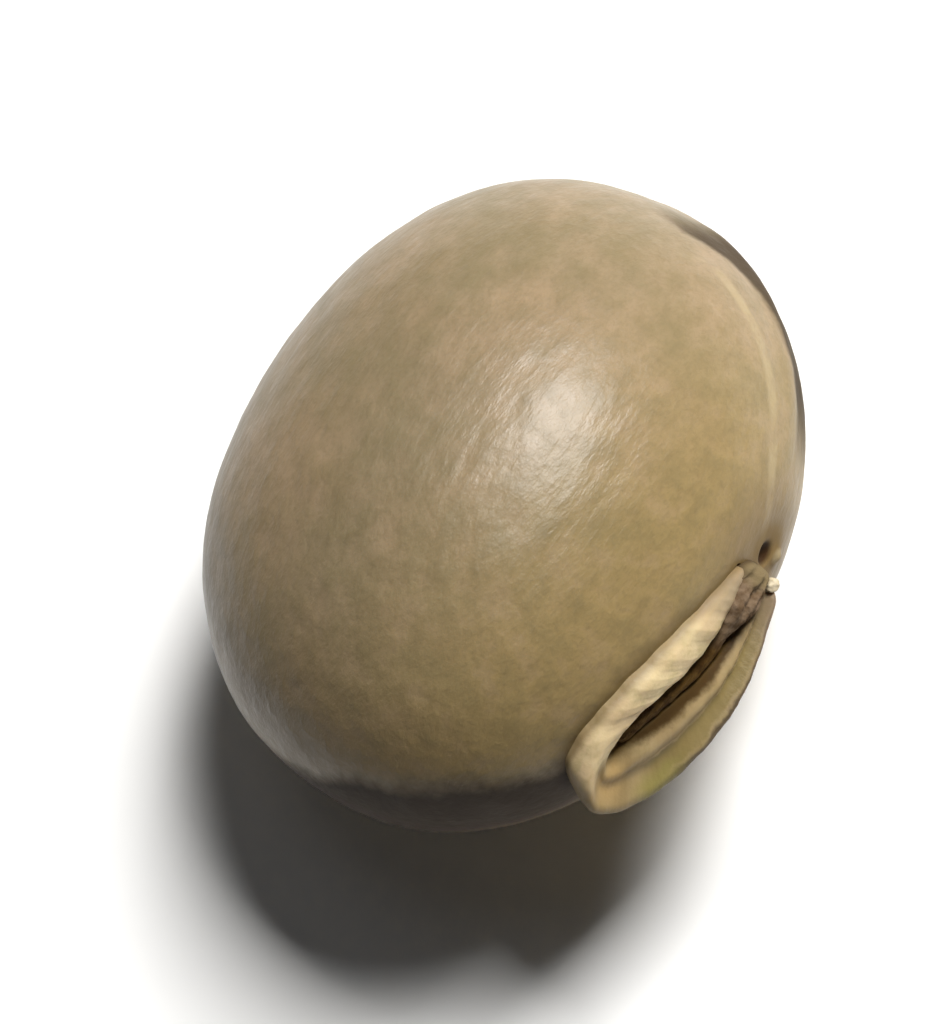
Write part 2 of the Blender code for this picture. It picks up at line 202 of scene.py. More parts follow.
def hairpin(closed_place, widest_place, widest, tip, count):
    """Evenly spaced points round a hairpin: down one arm, round the closed end, back."""
    turn = np.linspace(0, math.pi / 2, CURVE_STEPS)
    place = np.concatenate((
        widest_place - (widest_place - closed_place) * np.cos(turn),
        np.linspace(widest_place, COLLAR_TIP_PLACE, CURVE_STEPS)[1:],
    ))
    breadth = half_width(place, closed_place, widest_place, widest, tip)
    steps = np.hypot(np.diff(place), np.diff(breadth))
    travel = np.concatenate(([0.0], np.cumsum(steps)))
    share = np.linspace(-1, 1, count)
    reach = np.abs(share) * travel[-1]
    across = np.interp(reach, travel, breadth) * np.where(share < 0, 1.0, -1.0)
    return np.stack((np.interp(reach, travel, place), across), axis=-1), share, reach


print("collar:", 2 * COLLAR_HALF_LENGTH / MM, "by", 2 * COLLAR_HALF_WIDTH / MM, "mm")

# %% [markdown]
# ## Making a mesh from rows of points
#
# Every piece here is a grid: rows of points joined by four-sided faces. One helper joins
# them, one closes the two ends, and one makes the mesh, turns its faces outward and keeps
# what the finish needs to know about each point as a named number on the mesh.

# %% Helpers for gridded pieces
def grid_faces(rows, columns):
    """Four-sided faces between neighbouring rows whose last column meets the first."""
    row, column = np.meshgrid(np.arange(rows - 1), np.arange(columns), indexing="ij")
    after = (column + 1) % columns
    corners = np.stack((
        row * columns + column, row * columns + after,
        (row + 1) * columns + after, (row + 1) * columns + column,
    ), axis=-1)
    return corners.reshape(-1, 4).tolist()


def closed_grid_faces(rows, columns):
    """The same faces, with one face more over each of the two ends."""
    first_row = tuple(range(columns))[::-1]
    last_row = tuple(range((rows - 1) * columns, rows * columns))
    return grid_faces(rows, columns) + [first_row, last_row]


def signed_volume(mesh):
    """A closed mesh's volume, which comes out below 0 where its faces look inward."""
    shape = bmesh.new()
    shape.from_mesh(mesh)
    volume = shape.calc_volume(signed=True)
    shape.free()
    return volume


def make_piece(name, points, faces, marks):
    """A mesh object in the frame, with its marks and smooth shading."""
    mesh = bpy.data.meshes.new(name)
    mesh.from_pydata(points.reshape(-1, 3).tolist(), [], faces)
    for mark, values in marks.items():
        layer = mesh.attributes.new(mark, "FLOAT", "POINT")
        layer.data.foreach_set("value", np.asarray(values, dtype=np.float32).reshape(-1))
    mesh.validate()
    if signed_volume(mesh) < 0:
        mesh.flip_normals()
    mesh.update()
    mesh.shade_smooth()
    piece = bpy.data.objects.new(name, mesh)
    bpy.context.scene.collection.objects.link(piece)
    print(name, "has", len(mesh.vertices), "points and", len(mesh.polygons), "faces")
    return piece


def ripple(points, pitch, octaves=3):
    """Soft random relief, about -1 to 1, at the places given in the seed's own axes."""
    scaled = points.reshape(-1, 3) / pitch
    values = [noise.fractal(Vector(place), 1.0, 2.0, octaves) for place in scaled.tolist()]
    return np.array(values).reshape(points.shape[:-1])


# %% [markdown]
# ## The coat
#
# The coat is one closed skin. Its rows of points start at the rim of the scar's seat and
# spread over the seed to the middle of its back, and more rows go down into the seat. So
# the rim is crisp, with no cut, and the points are closest where the detail is.
#
# On the way each point gets the keel, a low ridge that runs from the tiny pit round the
# seed's end. It also gets the pit itself, the small raised fleck beside it, and the shallow
# waves that drying leaves in a seed coat. All of them are low hills and hollows, added
# along the way out of the seed.

# %% Keel, dimple and drying waves
KEEL_HEIGHT, KEEL_HALF_BREADTH = 0.11 * MM, 0.42 * MM
KEEL_START, KEEL_END = math.radians(62), math.radians(-22)
KEEL_START_FADE, KEEL_END_FADE = math.radians(14), math.radians(29)
DIMPLE_DEPTH, DIMPLE_RADIUS = 0.10 * MM, 0.9 * MM
PIT_PLACE, PIT_ACROSS = 3.84 * MM, -0.60 * MM
PIT_RADIUS, PIT_DEPTH, PIT_POWER = 0.26 * MM, 0.24 * MM, 3
FLECK_PLACE, FLECK_ACROSS = 3.96 * MM, -1.22 * MM
FLECK_RADIUS, FLECK_HEIGHT = 0.20 * MM, 0.14 * MM
WAVES = ((3.2 * MM, 0.030 * MM), (0.8 * MM, 0.008 * MM))

pit_centre = spot_on_edge(PIT_PLACE, PIT_ACROSS)
fleck_centre = spot_on_edge(FLECK_PLACE, FLECK_ACROSS)


def outward(direction):
    """The way out of the seed at places of the stretched unit ball."""
    return unit(direction / HALF_SIZES)


def distance_from(centre, direction):
    """How far the plain form's surface is from a point."""
    return np.linalg.norm(plain_form(direction) - centre, axis=-1)


def keel_window(direction):
    """1 along the keel's run, fading to 0 at both its ends."""
    angle = np.arctan2(-direction[..., 1], direction[..., 0])
    start = smooth_step((KEEL_START - angle) / KEEL_START_FADE)
    return start * smooth_step((angle - KEEL_END) / KEEL_END_FADE)


def keeled_form(direction):
    """The plain form with the keel raised and the dimple pressed in, as in the solid."""
    point = plain_form(direction)
    rise = KEEL_HEIGHT * keel_window(direction) * soft_hill(point[..., 2], KEEL_HALF_BREADTH)
    rise = rise - DIMPLE_DEPTH * soft_hill(distance_from(pit_centre, direction), DIMPLE_RADIUS)
    return point + outward(direction) * rise[..., None]


def coat_form(direction):
    """The seed's skin: the solid's form, with the pit, the fleck and the waves of drying."""
    point = keeled_form(direction)
    rise = -PIT_DEPTH * soft_hill(distance_from(pit_centre, direction), PIT_RADIUS, PIT_POWER)
    rise += FLECK_HEIGHT * soft_hill(distance_from(fleck_centre, direction), FLECK_RADIUS)
    for pitch, height in WAVES:
        rise += height * ripple(point, pitch)
    return point + outward(direction) * rise[..., None]


print("the pit is at", np.round(pit_centre / MM, 2), "mm in the seed's own axes")

# %% [markdown]
# ## Laying the seed down
#
# The seed leans a little, so that its scar looks up. The lean and the flat spot that it
# rests on are the solid model's. The shift is read from the frame's box, so that the fine
# pieces land exactly where the solids are.

# %% From the seed's own axes to the frame
LEAN = math.radians(13)
POLE_ANGLE = 1.57
GLOBE_ROWS, GLOBE_COLUMNS = 361, 721


def leaned(points):
    """Points turned about X, so that the scar's edge rises."""
    y = points[..., 1] * math.cos(LEAN) + points[..., 2] * math.sin(LEAN)
    z = points[..., 2] * math.cos(LEAN) - points[..., 1] * math.sin(LEAN)
    return np.stack((points[..., 0], y, z), axis=-1)


globe_height, globe_turn = np.meshgrid(
    np.linspace(-POLE_ANGLE, POLE_ANGLE, GLOBE_ROWS), np.linspace(0, 2 * math.pi, GLOBE_COLUMNS),
)
globe = np.stack((
    np.cos(globe_height) * np.cos(globe_turn),
    np.cos(globe_height) * np.sin(globe_turn),
    np.sin(globe_height),
), axis=-1)
form_high = leaned(keeled_form(globe)).reshape(-1, 3).max(axis=0)
shift = seed_high - form_high


def laid(points):
    """Points of the seed's own axes, put where the frame's solids are."""
    return leaned(points) + shift


print("shift in mm:", np.round(shift / MM, 3))

# %% [markdown]
# ## The rim of the seat
#
# The collar stands in a shallow seat, and it has to hide the seat's rim all the way round.
# The rim is wanted at known places on the edge, but the form is asked for by directions. A
# direction here isn't a ray to the point: it is a place on a unit ball, which the formula
# stretches. So each direction is found by trying, measuring what is missing, and turning it
# by that much, until the rim is in place.

# %% The rim's outline
SEAT_DEPTH, SEAT_END_POWER = 0.42 * MM, 2.6
GAP = 0.06 * MM
RIM_STEPS = 3000
RIM_OVERLAP, SEAT_RIM_END = 0.02 * MM, 3.28 * MM


def eased(count):
    """Shares from 0 to 1 that lie closest together at both ends."""
    return 0.5 - 0.5 * np.cos(np.linspace(0, math.pi, count))


def seat_outline():
    """Places and distances across of the seat's rim, which the collar hides."""
    start, end = RIM_OVERLAP - COLLAR_HALF_LENGTH, SEAT_RIM_END
    place = start + (end - start) * eased(RIM_STEPS)
    past_tip = np.clip((place - COLLAR_TIP_PLACE) / (end - COLLAR_TIP_PLACE), 0.0, 1.0)
    across = half_width(place, start, COLLAR_WIDEST_PLACE, COLLAR_HALF_WIDTH, COLLAR_TIP_HALF_WIDTH)
    across = (across - RIM_OVERLAP) * np.sqrt(1 - past_tip ** SEAT_END_POWER)
    across[0] = 0.0
    there = np.stack((place, across * upper_trim(place)), axis=-1)
    back = np.stack((place[::-1], -across[::-1]), axis=-1)
    return np.concatenate((there[1:-1], back[1:-1]))


def above_crown(points, place, across):
    """How high points are above the crown, at their places and distances across."""
    return np.sum((points - on_edge(place, across, 0 * place)) * edge_normal(place), axis=-1)


rim = seat_outline()
print("the rim reaches", np.round(rim.max(axis=0) / MM, 2), "and", np.round(rim.min(axis=0) / MM, 2), "mm")

# %% The search for the rim's directions
SCAR_MIDDLE_PLACE = 0.2 * MM
RIM_PASSES = 12

scar_axis = unit(edge_point(np.array(SCAR_MIDDLE_PLACE)) / HALF_SIZES)
scar_along = unit(np.array((1.0, 0.0, 0.0)) - scar_axis[0] * scar_axis)
scar_up = np.array((0.0, 0.0, 1.0))

rim_direction = unit(on_edge(rim[:, 0], rim[:, 1], 0 * rim[:, 0]) / HALF_SIZES)
for _ in range(RIM_PASSES):
    reached = keeled_form(rim_direction)
    rim_height = above_crown(reached, rim[:, 0], rim[:, 1])
    missing = on_edge(rim[:, 0], rim[:, 1], rim_height) - reached
    rim_direction = unit(rim_direction + missing / HALF_SIZES)
print("the rim is found to within", round(np.linalg.norm(missing, axis=-1).max() / MM, 4), "mm")

# %% The coat's columns
COAT_COLUMNS = 420

rim_azimuth = np.arctan2(rim_direction @ scar_up, rim_direction @ scar_along)
order = np.argsort(rim_azimuth)
rim, rim_direction, rim_azimuth = rim[order], rim_direction[order], rim_azimuth[order]
rim_steps = np.linalg.norm(np.diff(rim, axis=0, append=rim[:1]), axis=1)
by_length = np.cumsum(rim_steps) / rim_steps.sum()
by_angle = (rim_azimuth + math.pi) / (2 * math.pi)
azimuth = np.interp(np.arange(COAT_COLUMNS) / COAT_COLUMNS, (by_length + by_angle) / 2, rim_azimuth)


def round_the_rim(values):
    """Values at the rim's own points, read at the coat's columns."""
    return np.interp(azimuth, rim_azimuth, values, period=2 * math.pi)


rim_angle = round_the_rim(np.arccos(rim_direction @ scar_axis))
rim_place = round_the_rim(rim[:, 0])
rim_across = round_the_rim(rim[:, 1])
print("the rim is read at", COAT_COLUMNS, "columns")

# %% The coat's rows
OUTER_ROWS = 186
ROW_CROWDING = 1.75
SEAT_ROWS = ((0.012, 0.04), (0.020, 0.12), (0.024, 0.45), (0.030, 0.80), (0.060, 0.97), (0.120, 1.00))
FLOOR_ROWS = 12

fractions = (np.arange(OUTER_ROWS) / OUTER_ROWS) ** ROW_CROWDING
angles = rim_angle + (math.pi - rim_angle) * fractions[:, None]
sideways = np.cos(azimuth)[:, None] * scar_along + np.sin(azimuth)[:, None] * scar_up
directions = np.cos(angles)[..., None] * scar_axis + np.sin(angles)[..., None] * sideways
skin = coat_form(directions)
back_point = coat_form(-scar_axis[None])

rim_reach = np.hypot(rim_place, rim_across)
surface_height = above_crown(skin[0], rim_place, rim_across)
seat_points = []
for inset, depth in SEAT_ROWS:
    shrink = 1 - inset * MM / rim_reach
    height = surface_height + (-SEAT_DEPTH - surface_height) * depth
    seat_points.append(on_edge(rim_place * shrink, rim_across * shrink, height))
floor_edge = shrink
for row in range(1, FLOOR_ROWS + 1):
    shrink = floor_edge * (1 - row / (FLOOR_ROWS + 1))
    seat_points.append(on_edge(rim_place * shrink, rim_across * shrink, 0 * rim_place - SEAT_DEPTH))
seat_points = np.array(seat_points[::-1])
floor_point = spot_on_edge(0.0, 0.0, -SEAT_DEPTH)[None]
seat_row_count = len(seat_points)
print("rows over the seed:", OUTER_ROWS, "and in the seat:", seat_row_count)

# %% The coat's points and faces
FLAT_SOFTNESS = 0.03 * MM


def soft_floor(points):
    """Presses what would be below the surface flat, with a soft edge."""
    flat = points.copy()
    flat[..., 2] = (points[..., 2] + np.sqrt(points[..., 2] ** 2 + FLAT_SOFTNESS ** 2)) / 2
    return flat


row_total = seat_row_count + OUTER_ROWS
coat_points = np.concatenate((seat_points.reshape(-1, 3), skin.reshape(-1, 3), floor_point, back_point))
floor_corner, back_corner = row_total * COAT_COLUMNS, row_total * COAT_COLUMNS + 1
coat_faces = grid_faces(row_total, COAT_COLUMNS)
last_row = (row_total - 1) * COAT_COLUMNS
for column in range(COAT_COLUMNS):
    after = (column + 1) % COAT_COLUMNS
    coat_faces.append((floor_corner, after, column))
    coat_faces.append((back_corner, last_row + column, last_row + after))
print("the coat has", len(coat_faces), "faces to make")

# %% [markdown]
# ## What the coat's finish has to know
#
# The colours of a seed follow its form: a pale line along the keel, a dark band below it,
# brown by the collar and the pit. The far end darkens, partly its own tone and partly
# painted shade, and the low side that faces away from the key light gets painted shade,
# near-black brown over some brown stain. So each point keeps a few numbers on the mesh:
# how far it is from the collar, the keel, the pit and the fleck, how high it is, and which
# way it looks. They are worked out here, once. In the seat each number has one plain value.

# %% The coat's marks
FAR_START, FAR_FADE, FAR_SLANT = -1.5 * MM, 7.5 * MM, 0.45
LINE_ANGLES = np.radians((15, 22, 26, 33, 43, 54, 62, 73))
LINE_HEIGHTS = np.array((3.0, 2.3, 1.82, 1.47, 1.06, 0.76, 0.60, -0.04)) * MM
LINE_START, LINE_END, BAND_START, BAND_END = (math.radians(angle) for angle in (76, 18, 62, 2))
WINDOW_FADE = math.radians(16)
# LOW_TOWARD points to the seed's low side, away from the key light, where painted shade goes.
LOW_TOWARD = np.array((-0.829, -0.457, -0.321))
FAR_AWAY, PIT_AWAY = 15.0, 9.0

keel_angle = np.arctan2(-directions[..., 1], directions[..., 0])


def angle_window(start, end):
    """1 between two angles round the seed, fading to 0 at both."""
    return smooth_step((start - keel_angle) / WINDOW_FADE) * smooth_step((keel_angle - end) / WINDOW_FADE)


def coat_mark(over_skin, in_seat=0.0, at_back=0.0):
    """A mark over the whole coat: its value in the seat, over the skin and at the back."""
    seat = np.full(seat_row_count * COAT_COLUMNS, in_seat)
    return np.concatenate((seat, over_skin.reshape(-1), (in_seat, at_back)))


from_rim = np.linalg.norm(skin - skin[:1], axis=-1)
beside_keel = skin[..., 2] - np.interp(keel_angle, LINE_ANGLES, LINE_HEIGHTS)
far_end = np.clip((FAR_START - skin[..., 0] - FAR_SLANT * skin[..., 2]) / FAR_FADE, 0.0, 1.0)
coat_marks = {
    "from_collar": coat_mark(from_rim / MM, at_back=FAR_AWAY),
    "in_seat": coat_mark(0 * from_rim, in_seat=1.0),
    "beside_keel": coat_mark(beside_keel / MM),
    "line_here": coat_mark(angle_window(LINE_START, LINE_END)),
    "band_here": coat_mark(angle_window(BAND_START, BAND_END)),
    "low_side": coat_mark(outward(skin / HALF_SIZES) @ LOW_TOWARD),
    "rise": coat_mark(skin[..., 2] / MM),
    "from_pit": coat_mark(distance_from(pit_centre, directions) / MM, PIT_AWAY, FAR_AWAY),
    "from_fleck": coat_mark(distance_from(fleck_centre, directions) / MM, PIT_AWAY, FAR_AWAY),
    "far_end": coat_mark(far_end),
}
coat = make_piece("bean_coat", soft_floor(laid(coat_points)), coat_faces, coat_marks)
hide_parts("seed")

# %% [markdown]
# ## The collar
#
# The collar is corky tissue that dried into two knobby lips, joined at one end. Its section
# is drawn once for each lip, as shares of the lip's breadth and height, and carried round
# the hairpin between the two outlines. That keeps the two edges where they belong, which a
# swept tube can't do while the breadth changes.
#
# Low lumps, fine crosswise ribs and random knobs are then added point by point. Drying
# draws the tissue into folds across the lip, so the folds follow the way along it.

# %% The lips' sections
COLLAR_HEIGHT = 1.05 * MM
SECTION_POINTS = 44
UPPER_SECTION = (
    (0.00, 0.04), (0.03, 0.13), (0.09, 0.22), (0.18, 0.29), (0.30, 0.32), (0.44, 0.34),
    (0.58, 0.34), (0.70, 0.33), (0.81, 0.30), (0.90, 0.26), (0.97, 0.18), (1.00, 0.08),
)
LOWER_SECTION = (
    (0.00, 0.05), (0.02, 0.48), (0.08, 0.86), (0.17, 1.00), (0.27, 0.95), (0.37, 0.76),
    (0.47, 0.59), (0.56, 0.52), (0.66, 0.52), (0.75, 0.49), (0.87, 0.34), (1.00, 0.14),
)


def smooth_through(corners, count):
    """A smooth curve through the corners, read at evenly spaced steps."""
    corners = np.array(corners)
    held = np.concatenate((corners[:1], corners, corners[-1:]))
    position = np.linspace(0, len(corners) - 1, count)
    index = np.minimum(position.astype(int), len(corners) - 2)
    part = (position - index)[:, None]
    before, start, end, after = (held[index + step] for step in range(4))
    slope = (end - before) * part
    bend = (2 * before - 5 * start + 4 * end - after) * part ** 2
    twist = (3 * start - before - 3 * end + after) * part ** 3
    return start + 0.5 * (slope + bend + twist)


upper_section = smooth_through(UPPER_SECTION, SECTION_POINTS)
lower_section = smooth_through(LOWER_SECTION, SECTION_POINTS)
print("each section has", SECTION_POINTS, "points")

# %% The lips between the two outlines
COLLAR_STATIONS = 620
LOWER_LIP_START, LOWER_LIP_FADE = -0.34, 0.40
TIP_DROOP, TIP_DROOP_START = 0.35, 0.55
TIP_ROUNDING, TIP_BLUNTNESS = 0.06, 0.30

outer, arm_share, arm_travel = hairpin(
    -COLLAR_HALF_LENGTH, COLLAR_WIDEST_PLACE, COLLAR_HALF_WIDTH, COLLAR_TIP_HALF_WIDTH, COLLAR_STATIONS,
)
inner, _, _ = hairpin(
    SLOT_CLOSED_PLACE, SLOT_WIDEST_PLACE, SLOT_HALF_WIDTH, SLOT_TIP_HALF_WIDTH, COLLAR_STATIONS,
)
inner[:, 1] += slot_shift(inner[:, 0])
outer[:, 1] *= np.where(outer[:, 1] > 0, upper_trim(outer[:, 0]), 1.0)
lip_way = (inner - outer)[:, None]

share = np.repeat(arm_share[:, None], SECTION_POINTS, axis=1)
travel = np.repeat(arm_travel[:, None], SECTION_POINTS, axis=1)
lower = smooth_step((share - LOWER_LIP_START) / LOWER_LIP_FADE)
breadth = upper_section[:, 0] + (lower_section - upper_section)[:, 0] * lower
lift = upper_section[:, 1] + (lower_section - upper_section)[:, 1] * lower

droop = 1 - TIP_DROOP * smooth_step((np.abs(share) - TIP_DROOP_START) / (1 - TIP_DROOP_START))
round_off = TIP_BLUNTNESS + (1 - TIP_BLUNTNESS) * rounded((1 - np.abs(share)) / TIP_ROUNDING)
lip = outer[:, None] + lip_way * (0.5 + (breadth - 0.5) * round_off)[..., None]
print("the lips run", round(2 * arm_travel.max() / MM, 1), "mm round the slot")

# %% Relief of the collar
CREST_BASE, CREST_OUTER_FADE, CREST_INNER_FADE = 0.15, 0.14, 0.12
SLANT_BY_BREADTH, SLANT_BY_NOISE, SLANT_PITCH = 0.6, 0.5, 1.6 * MM
LUMP_PITCH, LUMP_HEIGHT, LUMP_TURN, LOWER_CALM = 0.93 * MM, 0.012 * MM, 2, 0.5
BULGE, BULGE_NOISE, BULGE_PITCH = 0.014, 1.2, 0.6 * MM
RIB_PITCH, RIB_HEIGHT, RIB_SLANT, RIB_NOISE_PITCH = 0.34 * MM, 0.0020 * MM, 1.3, 0.9 * MM
WRINKLE_PITCH, WRINKLE_HEIGHT, WRINKLE_SLANT = 0.17 * MM, 0.0010 * MM, 2.2
KNOB_PITCH, KNOB_HEIGHT = 0.70 * MM, 0.028 * MM

lip_middle = on_edge(lip[..., 0], lip[..., 1], 0 * share)
crest = smooth_step(breadth / CREST_OUTER_FADE) * smooth_step((1 - breadth) / CREST_INNER_FADE)
crest = CREST_BASE + (1 - CREST_BASE) * crest
slant = SLANT_BY_BREADTH * breadth + SLANT_BY_NOISE * ripple(lip_middle, SLANT_PITCH)
calm = 1 - LOWER_CALM * lower
lump_wave = np.cos(2 * math.pi * travel / LUMP_PITCH + LUMP_TURN * share + slant)
ribs = RIB_HEIGHT * np.cos(2 * math.pi * travel / RIB_PITCH + RIB_SLANT * slant)
ribs *= 1 + ripple(lip_middle, RIB_NOISE_PITCH)
wrinkles = WRINKLE_HEIGHT * np.cos(2 * math.pi * travel / WRINKLE_PITCH + WRINKLE_SLANT * slant)
knobs = KNOB_HEIGHT * ripple(lip_middle, KNOB_PITCH, 2) * calm
lumps = LUMP_HEIGHT * lump_wave * calm
swelling = lump_wave + BULGE_NOISE * ripple(lip_middle, BULGE_PITCH)
swelling *= BULGE * (1 - breadth) ** 2 * round_off * calm
lip -= lip_way * swelling[..., None]
relief = lumps + ribs + wrinkles + knobs
height = (COLLAR_HEIGHT * lift * droop + relief * crest) * round_off
print("relief from", round(relief.min() / MM, 3), "to", round(relief.max() / MM, 3), "mm")

# %% The hollow and the knot at the closed end
HOLLOW_PLACE, HOLLOW_ACROSS, HOLLOW_RADIUS, HOLLOW_DEPTH = -2.18 * MM, 0.46 * MM, 0.24 * MM, 0.30 * MM
KNOT_PLACE, KNOT_ACROSS, KNOT_RADIUS, KNOT_HEIGHT = -2.84 * MM, 0.10 * MM, 0.46 * MM, 0.10 * MM
HOLLOW_FLOOR = 0.02 * MM


def lip_hill(place, across, radius):
    """A soft hill on the lips, as a mark from 0 to 1."""
    return soft_hill(np.hypot(lip[..., 0] - place, lip[..., 1] - across), radius)


hollow = lip_hill(HOLLOW_PLACE, HOLLOW_ACROSS, HOLLOW_RADIUS)
knot = lip_hill(KNOT_PLACE, KNOT_ACROSS, KNOT_RADIUS)
height += KNOT_HEIGHT * knot
height = np.maximum(height - HOLLOW_DEPTH * hollow, np.minimum(height, HOLLOW_FLOOR))
print("the lips are", round(height.max() / MM, 2), "mm high at most")

# %% The collar's walls and its mesh
WALL_STEPS = 3


def with_walls(values):
    """Values over the lips, with those at both edges repeated down the two walls."""
    first = np.repeat(values[:, :1], WALL_STEPS, axis=1)
    last = np.repeat(values[:, -1:], WALL_STEPS, axis=1)
    return np.concatenate((first, values, last), axis=1)


foot = -(SEAT_DEPTH - GAP)
climb = np.arange(WALL_STEPS) / WALL_STEPS
wall_climb = np.concatenate((climb, np.ones(SECTION_POINTS), climb[::-1]))
all_height = foot + (with_walls(height) - foot) * wall_climb
all_lip = with_walls(lip)
collar_rows = laid(on_edge(all_lip[..., 0], all_lip[..., 1], all_height))
collar_faces = closed_grid_faces(*collar_rows.shape[:2])
collar_marks = {
    "lip_breadth": with_walls(breadth),
    "arm_share": with_walls(share),
    "lip_height": all_height / COLLAR_HEIGHT,
    "hollow": with_walls(hollow),
    "knot": with_walls(knot),
}
collar = make_piece("cream_collar", collar_rows, collar_faces, collar_marks)
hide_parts("aril")

# %% [markdown]
# ## The dried scrap of stalk
#
# Where the stalk tore away, a thin brown strand stays in the slot. Past its middle it
# spreads into a wrinkled cap that fills the collar's open end. It is a closed strip with
# a flat floor and a creased roof, so that it can be set by its breadth and its heights.

# %% Breadth of the scrap
STRAND_START, SCRAP_END, END_ROUNDING = -2.2 * MM, 3.48 * MM, 0.40 * MM
STRAND_HALF_WIDTH, STRAND_SIDE_SHIFT, TIP_BREADTH = 0.25 * MM, -0.09 * MM, 0.22
CAP_START, CAP_FADE, CAP_HALF_WIDTH = 1.3 * MM, 1.1 * MM, 0.50 * MM
SPREAD_START, SPREAD_FADE, SPREAD_HALF_WIDTH = 2.95 * MM, 0.25 * MM, 0.60 * MM
CAP_SIDE_SHIFT, CAP_SHIFT_FADE, STRAND_SHIFT_LEAD = 0.08 * MM, 0.6 * MM, 0.5
WAVERS = ((1.2 * MM, 0.06, 0.0), (0.56 * MM, 0.04, 1.0))
SCRAP_STATIONS, SCRAP_COLUMNS = 320, 44

place = (STRAND_START + (SCRAP_END - STRAND_START) * eased(SCRAP_STATIONS))[:, None]
across_share = np.linspace(-1, 1, SCRAP_COLUMNS)[None]
cap = smooth_step((place - CAP_START) / CAP_FADE)
end_round = rounded(np.minimum(place - STRAND_START, SCRAP_END - place) / END_ROUNDING)
half = STRAND_HALF_WIDTH + (CAP_HALF_WIDTH - STRAND_HALF_WIDTH) * cap
half = half + (SPREAD_HALF_WIDTH - CAP_HALF_WIDTH) * smooth_step((place - SPREAD_START) / SPREAD_FADE)
waver = 1.0
for pitch, depth, start in WAVERS:
    waver = waver + depth * np.sin(2 * math.pi * place / pitch + start)
half = half * waver * np.maximum(end_round, TIP_BREADTH)
side_shift = STRAND_SIDE_SHIFT * (1 - smooth_step((place - CAP_START) / CAP_FADE + STRAND_SHIFT_LEAD))
cap_shift = CAP_SIDE_SHIFT * cap * smooth_step((SCRAP_END - place) / CAP_SHIFT_FADE)
across = half * across_share + (side_shift + slot_shift(place) + cap_shift)
print("the scrap is", round((SCRAP_END - STRAND_START) / MM, 2), "mm long")

# %% Roof of the scrap
STRAND_HEIGHT, CAP_HEIGHT, SHOULDER = 0.20 * MM, 0.50 * MM, -0.2 * MM
EDGE_FALL, EDGE_POWER = 0.55, 2.5
CREASES, CREASE_DEPTH, CREASE_SWAY, CREASE_PITCH = 3, 0.05 * MM, 3, 0.5 * MM
CRUMPLE_PITCH, CRUMPLE_HEIGHT, STRAND_CRUMPLE = 0.36 * MM, 0.060 * MM, 0.35
FIBRE_PITCH, FIBRE_HEIGHT, FIBRE_STRETCH = 0.11 * MM, 0.016 * MM, 0.22

all_place = place + 0 * across
roof = STRAND_HEIGHT + (CAP_HEIGHT - STRAND_HEIGHT) * cap
roof = roof * (1 - EDGE_FALL * np.abs(across_share) ** EDGE_POWER)
sway = CREASE_SWAY * np.sin(place / CREASE_PITCH)
roof = roof - CREASE_DEPTH * np.cos(CREASES * math.pi * across_share + sway) * cap
crumple = ripple(on_edge(all_place, across, 0 * across), CRUMPLE_PITCH, 4)
roof = roof + CRUMPLE_HEIGHT * crumple * (STRAND_CRUMPLE + (1 - STRAND_CRUMPLE) * cap)
fibres = ripple(np.stack((FIBRE_STRETCH * all_place, across, 0 * across), axis=-1), FIBRE_PITCH)
roof = roof + FIBRE_HEIGHT * fibres
roof = SHOULDER + (roof - SHOULDER) * end_round
print("its roof is", round(roof.max() / MM, 2), "mm high at most")

# %% The scrap's mesh
low = on_edge(all_place, across, 0 * roof + foot)
high = on_edge(all_place, across, roof)
scrap_rows = np.concatenate((low, high[:, ::-1]), axis=1)
scrap_faces = closed_grid_faces(*scrap_rows.shape[:2])
scrap_marks = {
    "scrap_place": np.repeat(place, 2 * SCRAP_COLUMNS, axis=1) / MM,
    "scrap_height": np.concatenate((0 * roof, (roof[:, ::-1] - SHOULDER) / CAP_HEIGHT), axis=1),
}
scrap = make_piece("stalk_scrap", laid(scrap_rows), scrap_faces, scrap_marks)
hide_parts("funicle_remnant")

# %% [markdown]
# ## A pale crumb at the collar's tip
#
# A tiny pale crumb of dried tissue sticks to the lower lip's open end. It is a small ball
# of faces pushed about by noise, because a crumb has no regular form.

# %% The crumb
CRUMB_PLACE, CRUMB_ACROSS, CRUMB_HEIGHT = 3.14 * MM, -0.52 * MM, 0.44 * MM
CRUMB_RADIUS, CRUMB_PROPORTIONS = 0.20 * MM, np.array((1.0, 0.85, 0.8))
CRUMB_ROWS, CRUMB_COLUMNS, CRUMB_POLE = 26, 40, 0.06
CRUMB_SWELL, CRUMB_PITCH = 0.28, 1.1

polar, around = np.meshgrid(
    np.linspace(CRUMB_POLE, math.pi - CRUMB_POLE, CRUMB_ROWS),
    np.linspace(0, 2 * math.pi, CRUMB_COLUMNS, endpoint=False),
    indexing="ij",
)
ball = np.stack((np.sin(polar) * np.cos(around), np.sin(polar) * np.sin(around), np.cos(polar)), axis=-1)
swell = 1 + CRUMB_SWELL * ripple(ball, CRUMB_PITCH)
crumb_middle = laid(spot_on_edge(CRUMB_PLACE, CRUMB_ACROSS, CRUMB_HEIGHT))
crumb_points = crumb_middle + ball * swell[..., None] * CRUMB_RADIUS * CRUMB_PROPORTIONS
crumb = make_piece("pale_grain", crumb_points, closed_grid_faces(CRUMB_ROWS, CRUMB_COLUMNS), {})

# %% [markdown]
# ## Materials
#
# Each finish is a small graph of nodes. A few helpers keep the graphs short: one adds a
# node and sets or links its inputs, one turns a number into a mask with a soft edge, and
# one lays a colour over another where a mask says.
#
# Dried plant tissue of every kind has the same scales of unevenness, slow blotches,
# middling mottles and fine grain. That effect is made once, as a node group with its own
# inputs and outputs, and every material uses it with its own sizes.

